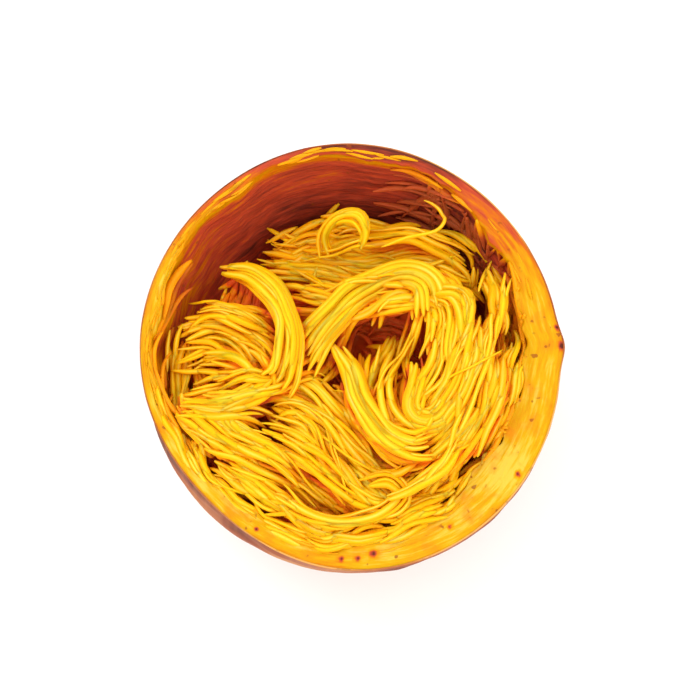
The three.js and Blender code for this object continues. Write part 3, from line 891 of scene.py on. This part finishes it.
# %% The way that bunches run
line_points = np.vstack([smooth_line(bunch[-1]) for bunch in BUNCHES])
line_ways = np.vstack([np.gradient(smooth_line(bunch[-1]), axis=0) / STEP for bunch in BUNCHES])
line_turns = 2 * np.arctan2(line_ways[:, 1], line_ways[:, 0])
NEAR_ENOUGH = 20  # square millimetres within which no bunch counts for more
FOLLOWS, STRAY_TURN = 0.3, 0.12


def drawn_way(point):
    """The way that the bunches round a point run, the nearest ones most: a turn, either way along."""
    weight = 1 / (((line_points - point) ** 2).sum(axis=1) + NEAR_ENOUGH) ** 2
    return math.atan2(weight @ np.sin(line_turns), weight @ np.cos(line_turns)) / 2


def drawn_line(start, length, astray=0.0):
    """A line that runs the way that the bunches round it run, or a turn off it."""
    point, plan = np.array(start, float), []
    turn = drawn_way(point) + rng.choice([0, np.pi]) + astray
    for bend in STRAY_TURN * own_wander(np.arange(0, length, STEP), 9, 4.5):
        off = drawn_way(point) + astray - turn
        turn += FOLLOWS * math.atan(math.tan(off)) + bend
        point = point + STEP * np.array([math.cos(turn), math.sin(turn)])
        plan.append(point)
    return np.array(plan)[inside(np.array(plan), 1.5)]


print("points on the bunches' lines:", len(line_points))

# %% Fill the valleys
VALLEY_TRIES, VALLEY_DEPTHS = 300, (5.0, 3.5, 2.5)
BARE_BEHIND = 44
VALLEY_ROUND, VALLEY_FLOOR, VALLEY_SIDES = 9.0, 2.0, 65
valleys = Bundle("strand_valleys_fine")
for depth in np.repeat(VALLEY_DEPTHS, VALLEY_TRIES):
    spot = np.array([random_spot(BED_REACH)])
    stays_open = any(math.dist(spot[0], (x, y)) < reach for x, y, reach in OPEN_HOLLOWS)
    near, under = cells_near(spot, VALLEY_ROUND)[0], cells_near(spot, VALLEY_FLOOR)[0]
    sides = np.percentile(heights[near[:, 0], near[:, 1]], VALLEY_SIDES)
    is_deep = sides - np.mean(heights[under[:, 0], under[:, 1]]) > depth
    if is_deep and not stays_open and spot[0, 1] <= BARE_BEHIND:
        lay_tow(valleys, drawn_line(spot[0], rng.uniform(24, 52)), rng.integers(2, 5),
                rng.uniform(0.2, 0.7), most=RIM_HEIGHT + 4)
print("strands in the valleys:", len(valleys.strands))

# %% [markdown]
# ### Strands over the front edge
# In front the heap reaches up to the cut, and loose strands lie along its inner edge, so that no clear step
# shows between wall and heap. They follow the wall's formula, and a cap keeps them from piling up on the rim.

# %% Lay strands over the front edge
EDGE_TOWS, EDGE_FROM_TO, EDGE_INWARD = 40, (180, 300), (-1.5, 7)


def along_wall(length, from_to, inward, wander):
    """A line along the inner edge of the cut: degrees from and to, and millimetres in from the edge."""
    run = np.arange(0, rng.uniform(*length), STEP)
    angle = np.radians(rng.uniform(*from_to)) + run / RIM_RADIUS
    radius = inner_radius(angle, 0.0) - rng.uniform(*inward) + wander * own_wander(run, 12, 5.5)
    return round_plan(radius, angle)


for _ in range(EDGE_TOWS):
    plan = along_wall((18, 40), EDGE_FROM_TO, EDGE_INWARD, 2.5)
    lay_tow(valleys, plan, rng.integers(2, 5), rng.uniform(0.4, 0.8), RIM_HEIGHT - rng.uniform(7, 11),
            trim=False, most=RIM_HEIGHT + rng.uniform(-1.0, 1.0))
print("with those over the front edge:", len(valleys.strands))

# %% [markdown]
# ## Ribbons, loops and curls
# Then come the ones that catch the eye: wide ribbons that never parted, an arch that stands clear of a
# hollow, and loops and a curl of a few strands. They are held where their solids are. A wide ribbon has two
# layers, fine strands below and broad flat ones on them, because one layer shows gaps.

# %% Lines of the ribbons
RIBBONS = [  # name, half width, strands, tone, line seen from above
    ("bunch_arch", 6, 11, 0.85, [(-18, -3), (-8, 11), (4, 23), (17, 29), (27, 25), (30, 13)]),
    ("ribbon_middle", 4.5, 8, 0.85, [(-5, 5), (1, -6), (5, -17), (12, -28), (21, -33), (29, -32)]),
    ("ribbon_left", 5, 9, 0.95, [(-46, 34), (-34, 30), (-24, 19), (-20, 6), (-22, -7), (-26, -13)]),
    ("loop_front", 3.2, 5, 0.6, [(-24, -49), (-13, -56), (0, -58), (12, -55), (18, -49), (13, -44),
                                 (4, -47)]),
    ("curl_back", 2.2, 5, 0.45, [(-8, 39), (-9, 46), (-4, 51), (3, 51), (6, 45), (4, 39)]),
    ("loop_back", 0, 1, 0.5, [(9, 37), (22, 41), (32, 45), (36, 50), (33, 55), (25, 57)]),
    ("strand_front_right", 1.5, 3, 0.8, [(12, -51), (22, -47), (31, -40), (38, -33)]),
]
POINTED = ("ribbon_middle", "ribbon_left")  # drawn in to a point where they start
WIDE = 6  # strands from which a ribbon has two layers
print("lengths of the ribbons, mm:", [round(STEP * len(smooth_line(ribbon[-1]))) for ribbon in RIBBONS])

# %% Let the ribbons down on the bunches
for name, half_width, strands, tone, corners in RIBBONS:
    bundle, line, solid = Bundle(name + "_fine"), smooth_line(corners), tree_of(name)
    narrow = smooth(np.linspace(0, 1, len(line)), -0.2, 0.4) if name in POINTED else 1.0
    held_at, pitch, length = held_by(solid, line), 1.8 * half_width / strands, STEP * len(line)
    if strands > WIDE:
        crown = 0.1 * half_width
        lay_tow(bundle, line, strands, tone, held_at, pitch, 0.7, crown, 0.2 * length, narrow, (1.0, 2.0),
                wander=1.2, tuck=2.5, trim=False, most=held_at + 1)
        lay_tow(bundle, line, strands - 2, tone, held_at, 1.1 * pitch, 0.7, crown, 0.1 * length, narrow,
                (1.6, 2.6), wander=1.0, tuck=2.5, trim=False, flat=(0.35, 0.55), most=held_at + 2.5)
        # the painted shade reads these heights, so that nothing under the thin loops laid later is painted
        # darker
        shading = heights.copy()  # without the thin loops, which are laid later and shade nothing
    else:
        lay_tow(bundle, line, strands, tone, held_at, pitch, 0.35, 0.2 * half_width, 0.1 * length, narrow,
                (1.0, 2.6) if strands > 1 else (1.2, 1.3), wander=2.6, tuck=2.5, trim=False)
    pieces.append((name, bundle))
print("strands in all pieces:", sum(len(bundle.strands) for _, bundle in pieces))

# %% [markdown]
# ## Last strands
# A raked heap is never combed: thin strands lie astray over everything. They run roughly with the bunches
# below, but the pale ribbon and the bare back stay clear of them. A few more lie low in the left hollow and
# along the right wall, where the shell would otherwise show.

# %% Fine strands over everything
TOP_STRANDS, TOP_REACH, TOP_BEHIND, OFF_RIBBON = 55, 52, 46, 5
over = Bundle("strand_top_fine")
pale_ribbon = smooth_line(dict((ribbon[0], ribbon[-1]) for ribbon in RIBBONS)["ribbon_left"])
for _ in range(TOP_STRANDS):
    plan = drawn_line(random_spot(TOP_REACH), rng.uniform(16, 40), rng.normal(0, 0.35))
    to_ribbon = np.linalg.norm(plan[:, None] - pale_ribbon[None], axis=2).min(initial=REACH)
    if plan[:, 1].max(initial=0) < TOP_BEHIND and to_ribbon > OFF_RIBBON:
        lay_tow(over, plan, rng.integers(1, 3), rng.uniform(0.5, 1), parting=2, widths=(0.8, 1.6), wander=2.4,
                bend=STRAY_BEND, most=RIM_HEIGHT + 8)
print("strands over everything:", len(over.strands))

# %% Strands low in the left hollow and along the right wall
LOW_TOWS = [  # tows, from and to angle, from and to millimetres in from the wall, how high at most
    (9, (130, 152), (16, 28), RIM_HEIGHT - 21), (18, (300, 372), (0, 8), RIM_HEIGHT - 1)]
for tows, from_to, inward, most in LOW_TOWS:
    for _ in range(tows):
        plan = along_wall((16, 34), from_to, inward, 3)
        lay_tow(over, plan, rng.integers(2, 5), rng.uniform(0, 0.6), most - rng.uniform(4, 12), trim=False,
                most=most)
print("with the low ones:", len(over.strands))

# %% [markdown]
# ## Strands still on the wall
# Along the wall some strands never came off: they run round the squash, half sunk in the flesh, and others
# were pulled down and hang. They are placed straight on the wall's formula, thick on the right and in front,
# and left off the smooth browned back. Torn scraps lie along the inner edge of the cut.

# %% Strands on the wall
WALL_STRANDS, HANGING = 210, 90
BARE_FROM, BARE_TO = np.radians(66), np.radians(168)
HANGING_FROM = np.radians(-75)
WALL_RADIUS = 62
wall = Bundle("wall_strands")


def on_wall(angle, down, proud):
    """Points that far down the wall, or out on the cut where down is less than nothing."""
    lower, out = np.maximum(down, 0), np.maximum(-down, 0)
    radius = inner_radius(angle, lower) - proud * (out == 0) + out
    return np.column_stack([round_plan(radius, angle), rim_height(angle) - lower])


def add_to_wall(angle, down, proud, tone):
    width, thickness = rng.uniform(1.2, 2.7), rng.uniform(0.9, 1.5)
    wall.add(on_wall(angle, down, proud), width, thickness, tone, 0.9 * browned_at(angle, np.abs(down)))


while len(wall.strands) < WALL_STRANDS:
    start, depth = rng.uniform(BARE_TO, BARE_FROM + 2 * np.pi), rng.uniform(0.8, 28)
    run = np.arange(0, rng.uniform(10, 30), STEP)
    share = run / run[-1]
    angle = start + rng.choice([-1, 1]) * run / WALL_RADIUS
    down = np.maximum(depth + rng.uniform(-4, 9) * share + 1.2 * own_wander(run, 8, 0.5), 0.6)
    pulled = rng.uniform(0, 6) * share**2.5 if rng.uniform() < 0.4 else 0.0
    add_to_wall(angle, down, rng.uniform(0.2, 1.0) + pulled, rng.uniform(0, 0.6))
while len(wall.strands) < WALL_STRANDS + HANGING:
    start = rng.uniform(HANGING_FROM, BARE_FROM)
    run = np.arange(0, rng.uniform(12, 30), STEP)
    angle = start + rng.normal(0, 0.006) * run + 0.05 * own_wander(run, 10, 0.5)
    down = rng.uniform(-1, 10) + 0.9 * run
    add_to_wall(angle, down, rng.uniform(0.3, 1.2) + 0.8 * own_wander(run, 7, 1.5), rng.uniform(0, 0.7))
print("strands on the wall:", len(wall.strands))

# %% Scraps along the rim
SCRAPS = 90
SCRAPS_AT, SCRAPS_OVER, SCRAP_RADIUS = np.radians(160), np.radians(55), 66
while len(wall.strands) < WALL_STRANDS + HANGING + SCRAPS:
    start = rng.normal(SCRAPS_AT, SCRAPS_OVER)
    run = np.arange(0, rng.uniform(5, 12), STEP)
    angle = start + rng.choice([-1, 1]) * run / SCRAP_RADIUS
    inward = rng.uniform(0.45, 1.0) + rng.uniform(-0.35, 0.35) * run / 14
    radius = outer_radius(angle, 0.0) - inward * rim_width(angle)
    height = rim_height(angle) + np.interp(inward, *CUT_RISE) + rng.uniform(-0.2, 0.4)
    path = np.column_stack([round_plan(radius, angle), height])
    wall.add(path, rng.uniform(0.9, 1.7), rng.uniform(0.6, 1.0), rng.uniform(0.2, 0.9),
             0.5 * browned_at(angle, 0.0))
print("with the scraps:", len(wall.strands))

# %% [markdown]
# ### Finish of the strands
# Each strand is a wet, translucent yellow, lighter or more orange than its neighbour, with fine streaks
# along it, and pale patches on its crest are a painted highlight. Its sides are painted a deeper orange, a
# painted shade for light that reaches them through the strand, and deep in the heap all of it is painted so.
# The path tracer finds some of that by itself, and a painted shade by how deep a point lies below the strands
# round it adds the rest.

# %% Strand finish
strand_finish, tree = new_finish("loose_strands")
along_strand = value_of(tree, "grain", "Vector")
streaks, patches = grain(tree, along_strand, 1.4, 3, 0.6), grain(tree, along_strand, 0.45, 2)
crest, painted_shade_depths, browned = value_of(tree, "crest"), value_of(tree, "painted_shade_depth"), value_of(tree, "browned")
colour = ramp(tree, value_of(tree, "tone"), (0.0, (0.84, 0.44, 0.0)), (0.4, (0.85, 0.52, 0.0)),
              (0.75, (0.86, 0.58, 0.002)), (1.0, (0.87, 0.63, 0.012)))
colour = mix(tree, spread(tree, streaks, 0.45, 0.75, 0, 0.35), colour, (0.79, 0.34, 0.0))
# painted shade: the sides and underside of each strand, away from its crest, are painted a deeper orange
colour = mix(tree, spread(tree, crest, 1.0, 0.45, 0, 0.9), colour, (1.0, 0.37, 0.0))
# painted highlight: pale patches on the crest of each strand
painted_highlight = joined(tree, "MULTIPLY", spread(tree, crest, 0.7, 1.0), spread(tree, patches, 0.4, 0.7, 0, 0.65))
colour = mix(tree, painted_highlight, colour, (0.96, 0.70, 0.14))
# painted shade: the deeper a point lies in a crack or hollow, the more it is painted deep orange and then
# dark red
shade = ramp(tree, painted_shade_depths, (0.0, (0.86, 0.40, 0.0)), (0.35, (0.97, 0.30, 0.002)), (0.7, (0.97, 0.20, 0.004)),
             (1.0, (0.75, 0.085, 0.012)))
colour = mix(tree, spread(tree, painted_shade_depths, 0.02, 0.3, 0, 0.95), colour, shade)
burnt = ramp(tree, browned, (0.0, AMBER), (0.4, ORANGE), (0.65, RUST), (1.0, CHAR))
colour = mix(tree, spread(tree, browned, 0.05, 0.6, 0, 0.9), colour, burnt)
surface(tree, {"Base Color": colour, "Roughness": spread(tree, streaks, 0.3, 0.7, 0.35, 0.55),
               "Normal": bump(tree, streaks, 0.35, 0.0004), "Specular IOR Level": 0.1,
               "Subsurface Weight": 0.5, "Subsurface Radius": (1.0, 0.8, 0.3), "Subsurface Scale": 0.0012})

# %% How deep each point lies, for the painted shade
# the painted shade is full this many millimetres below the strands round a point, or below the rim of a
# hollow
PAINTED_SHADE_FULL_AT, CREST_REACH, CREST_LEVEL = 7.0, 3.0, 70
HOLLOW_AT, HOLLOW_EDGE, HOLLOW_REACH, HOLLOW_LEVEL = 12.0, 3.0, 10.0, 65
ON_GROUND = 0.2
middles = np.stack(np.meshgrid(cell_middles, cell_middles, indexing="ij"), -1).reshape(-1, 2)
strand_tops = np.where(shading > ground + ON_GROUND, shading, 0)


def tops_round(reach, percent, every):
    """How high the strands lie round each cell."""
    near = cells_near(middles, reach)[:, ::every]
    return np.percentile(strand_tops[near[..., 0], near[..., 1]], percent, axis=1).reshape(cells, cells)


crests, rims = tops_round(CREST_REACH, CREST_LEVEL, 1), tops_round(HOLLOW_REACH, HOLLOW_LEVEL, 9)


def painted_shade_depth(points):
    """How deep points lie below the strands beside them, or in a hollow, from 0 to 1: how much painted shade
    they get.
    """
    here = tuple(cells_near(points[:, :2], 0.0)[:, 0].T)
    in_crack = (crests[here] - points[:, 2]) / PAINTED_SHADE_FULL_AT
    in_hollow = (rims[here] - HOLLOW_EDGE - points[:, 2]) / HOLLOW_AT
    return np.clip(np.maximum(in_crack, in_hollow), 0, 1)


print("highest strands, mm:", round(float(crests.max()), 1))

# %% Make the pieces of strands
# painted shade: the strands on the wall all get the same light painted shade, a little more orange
WALL_PAINTED_SHADE = 0.25
for bundle in (bed, valleys, over):
    settle(bundle.make(painted_shade_depth), strand_finish, "flesh", "strand_bed")
for name, bundle in pieces:
    settle(bundle.make(painted_shade_depth), strand_finish, "flesh", name)
settle(wall.make(lambda points: np.full(len(points), WALL_PAINTED_SHADE)), strand_finish, "flesh", "shell")

# %% [markdown]
# ### The core under the bed
# The core only closes the gaps between strands, so that none shows the bottom of the shell. It is the bed's
# own solid shape, a little sunk, so it reads its heights from the solid and takes the same finish, with the
# full painted shade all over: a deep red-orange sheet where the gaps show only shade.

# %% Core of the bed
CORE_SHARES, CORE_UNDERSIDE = np.linspace(0.97, 0.04, 40), (0.5, 0.9)
CORE_FLOOR, CORE_LOWEST, CORE_GRAIN = RIM_HEIGHT - 66.0, RIM_HEIGHT - 50, 4
edge_radius = inner_radius(angles, 36.0) - 1.0
core_rings = [ring(share * edge_radius, CORE_FLOOR) for share in CORE_UNDERSIDE]
for share in CORE_SHARES:
    flat = ring(share * edge_radius, 0.0)
    tops = np.array([top_at(bed_tree, x, y) or CORE_LOWEST for x, y, _ in flat])
    core_rings.append(ring(share * edge_radius, tops - BED_SUNK))
core_rings = np.array(core_rings)
none, full = np.zeros(core_rings.shape[:2]), np.ones(core_rings.shape[:2])
# painted shade: the core gets the full painted shade everywhere
core = turned_skin("strand_bed_shade_core", core_rings, CORE_FLOOR, float(core_rings[-1, :, 2].mean()),
                   {"tone": none, "browned": none, "grain": core_rings / CORE_GRAIN, "crest": none,
                    "painted_shade_depth": full})
settle(core, strand_finish, "flesh", "strand_bed")

# %% [markdown]
# ## Floor, light and camera
# The squash stands on a plain pale floor and is seen from high up in front. Most of the light is even and
# comes from all round, as in a bright room, so no shadow is hard. A soft light from the back left and one
# from the front right model the strands. The plain view transform keeps the yellows as strong as they are.

# %% Floor and light
FLOOR_DROP = 0.0005
ROOM_COLOUR, ROOM_STRENGTH = (1.0, 0.99, 0.97, 1), 1.36
HEAP_TOP = Vector((0, 0, RIM_HEIGHT * MM))
bpy.ops.mesh.primitive_plane_add(size=4, location=(0, 0, -FLOOR_DROP))
floor = bpy.context.object
floor.name = "floor"
floor_finish, tree = new_finish("pale_floor")
surface(tree, {"Base Color": (0.93, 0.93, 0.92, 1), "Roughness": 0.9})
floor.data.materials.append(floor_finish)

world = bpy.data.worlds.new("soft_room")
world.use_nodes = True
world.node_tree.nodes["Background"].inputs["Color"].default_value = ROOM_COLOUR
world.node_tree.nodes["Background"].inputs["Strength"].default_value = ROOM_STRENGTH
bpy.context.scene.world = world


def soft_light(name, place, size, power):
    light = bpy.data.lights.new(name, "AREA")
    light.shape = "DISK"
    light.size, light.energy = size, power
    lamp = bpy.data.objects.new(name, light)
    lamp.location = HEAP_TOP + Vector(place)
    lamp.rotation_euler = (-Vector(place)).to_track_quat("-Z", "Y").to_euler()
    bpy.context.scene.collection.objects.link(lamp)
    print(name, "of", power, "W")


soft_light("key_light", (-0.45, 0.42, 0.85), 0.6, 2.2)
soft_light("fill_light", (0.5, -0.7, 0.7), 0.8, 1.7)
bpy.context.scene.view_settings.view_transform = "Standard"

# %% Camera
ELEVATION = math.radians(78)
FRAME_WIDTH, LENS = 0.2414, 85
RIM_BELOW_MIDDLE, RIM_LEFT_OF_MIDDLE = 0.0012, 0.0006
camera_data = bpy.data.cameras.new("camera")
camera_data.lens = LENS
distance = FRAME_WIDTH * camera_data.lens / camera_data.sensor_width
back = Vector((0, -math.cos(ELEVATION), math.sin(ELEVATION)))
upward = Vector((0, math.sin(ELEVATION), math.cos(ELEVATION)))
camera = bpy.data.objects.new("camera", camera_data)
camera.location = HEAP_TOP + RIM_BELOW_MIDDLE * upward + distance * back
camera.location.x += RIM_LEFT_OF_MIDDLE
camera.rotation_euler = (-back).to_track_quat("-Z", "Y").to_euler()
bpy.context.scene.collection.objects.link(camera)
bpy.context.scene.camera = camera
print("camera is", round(distance, 3), "m from the rim")
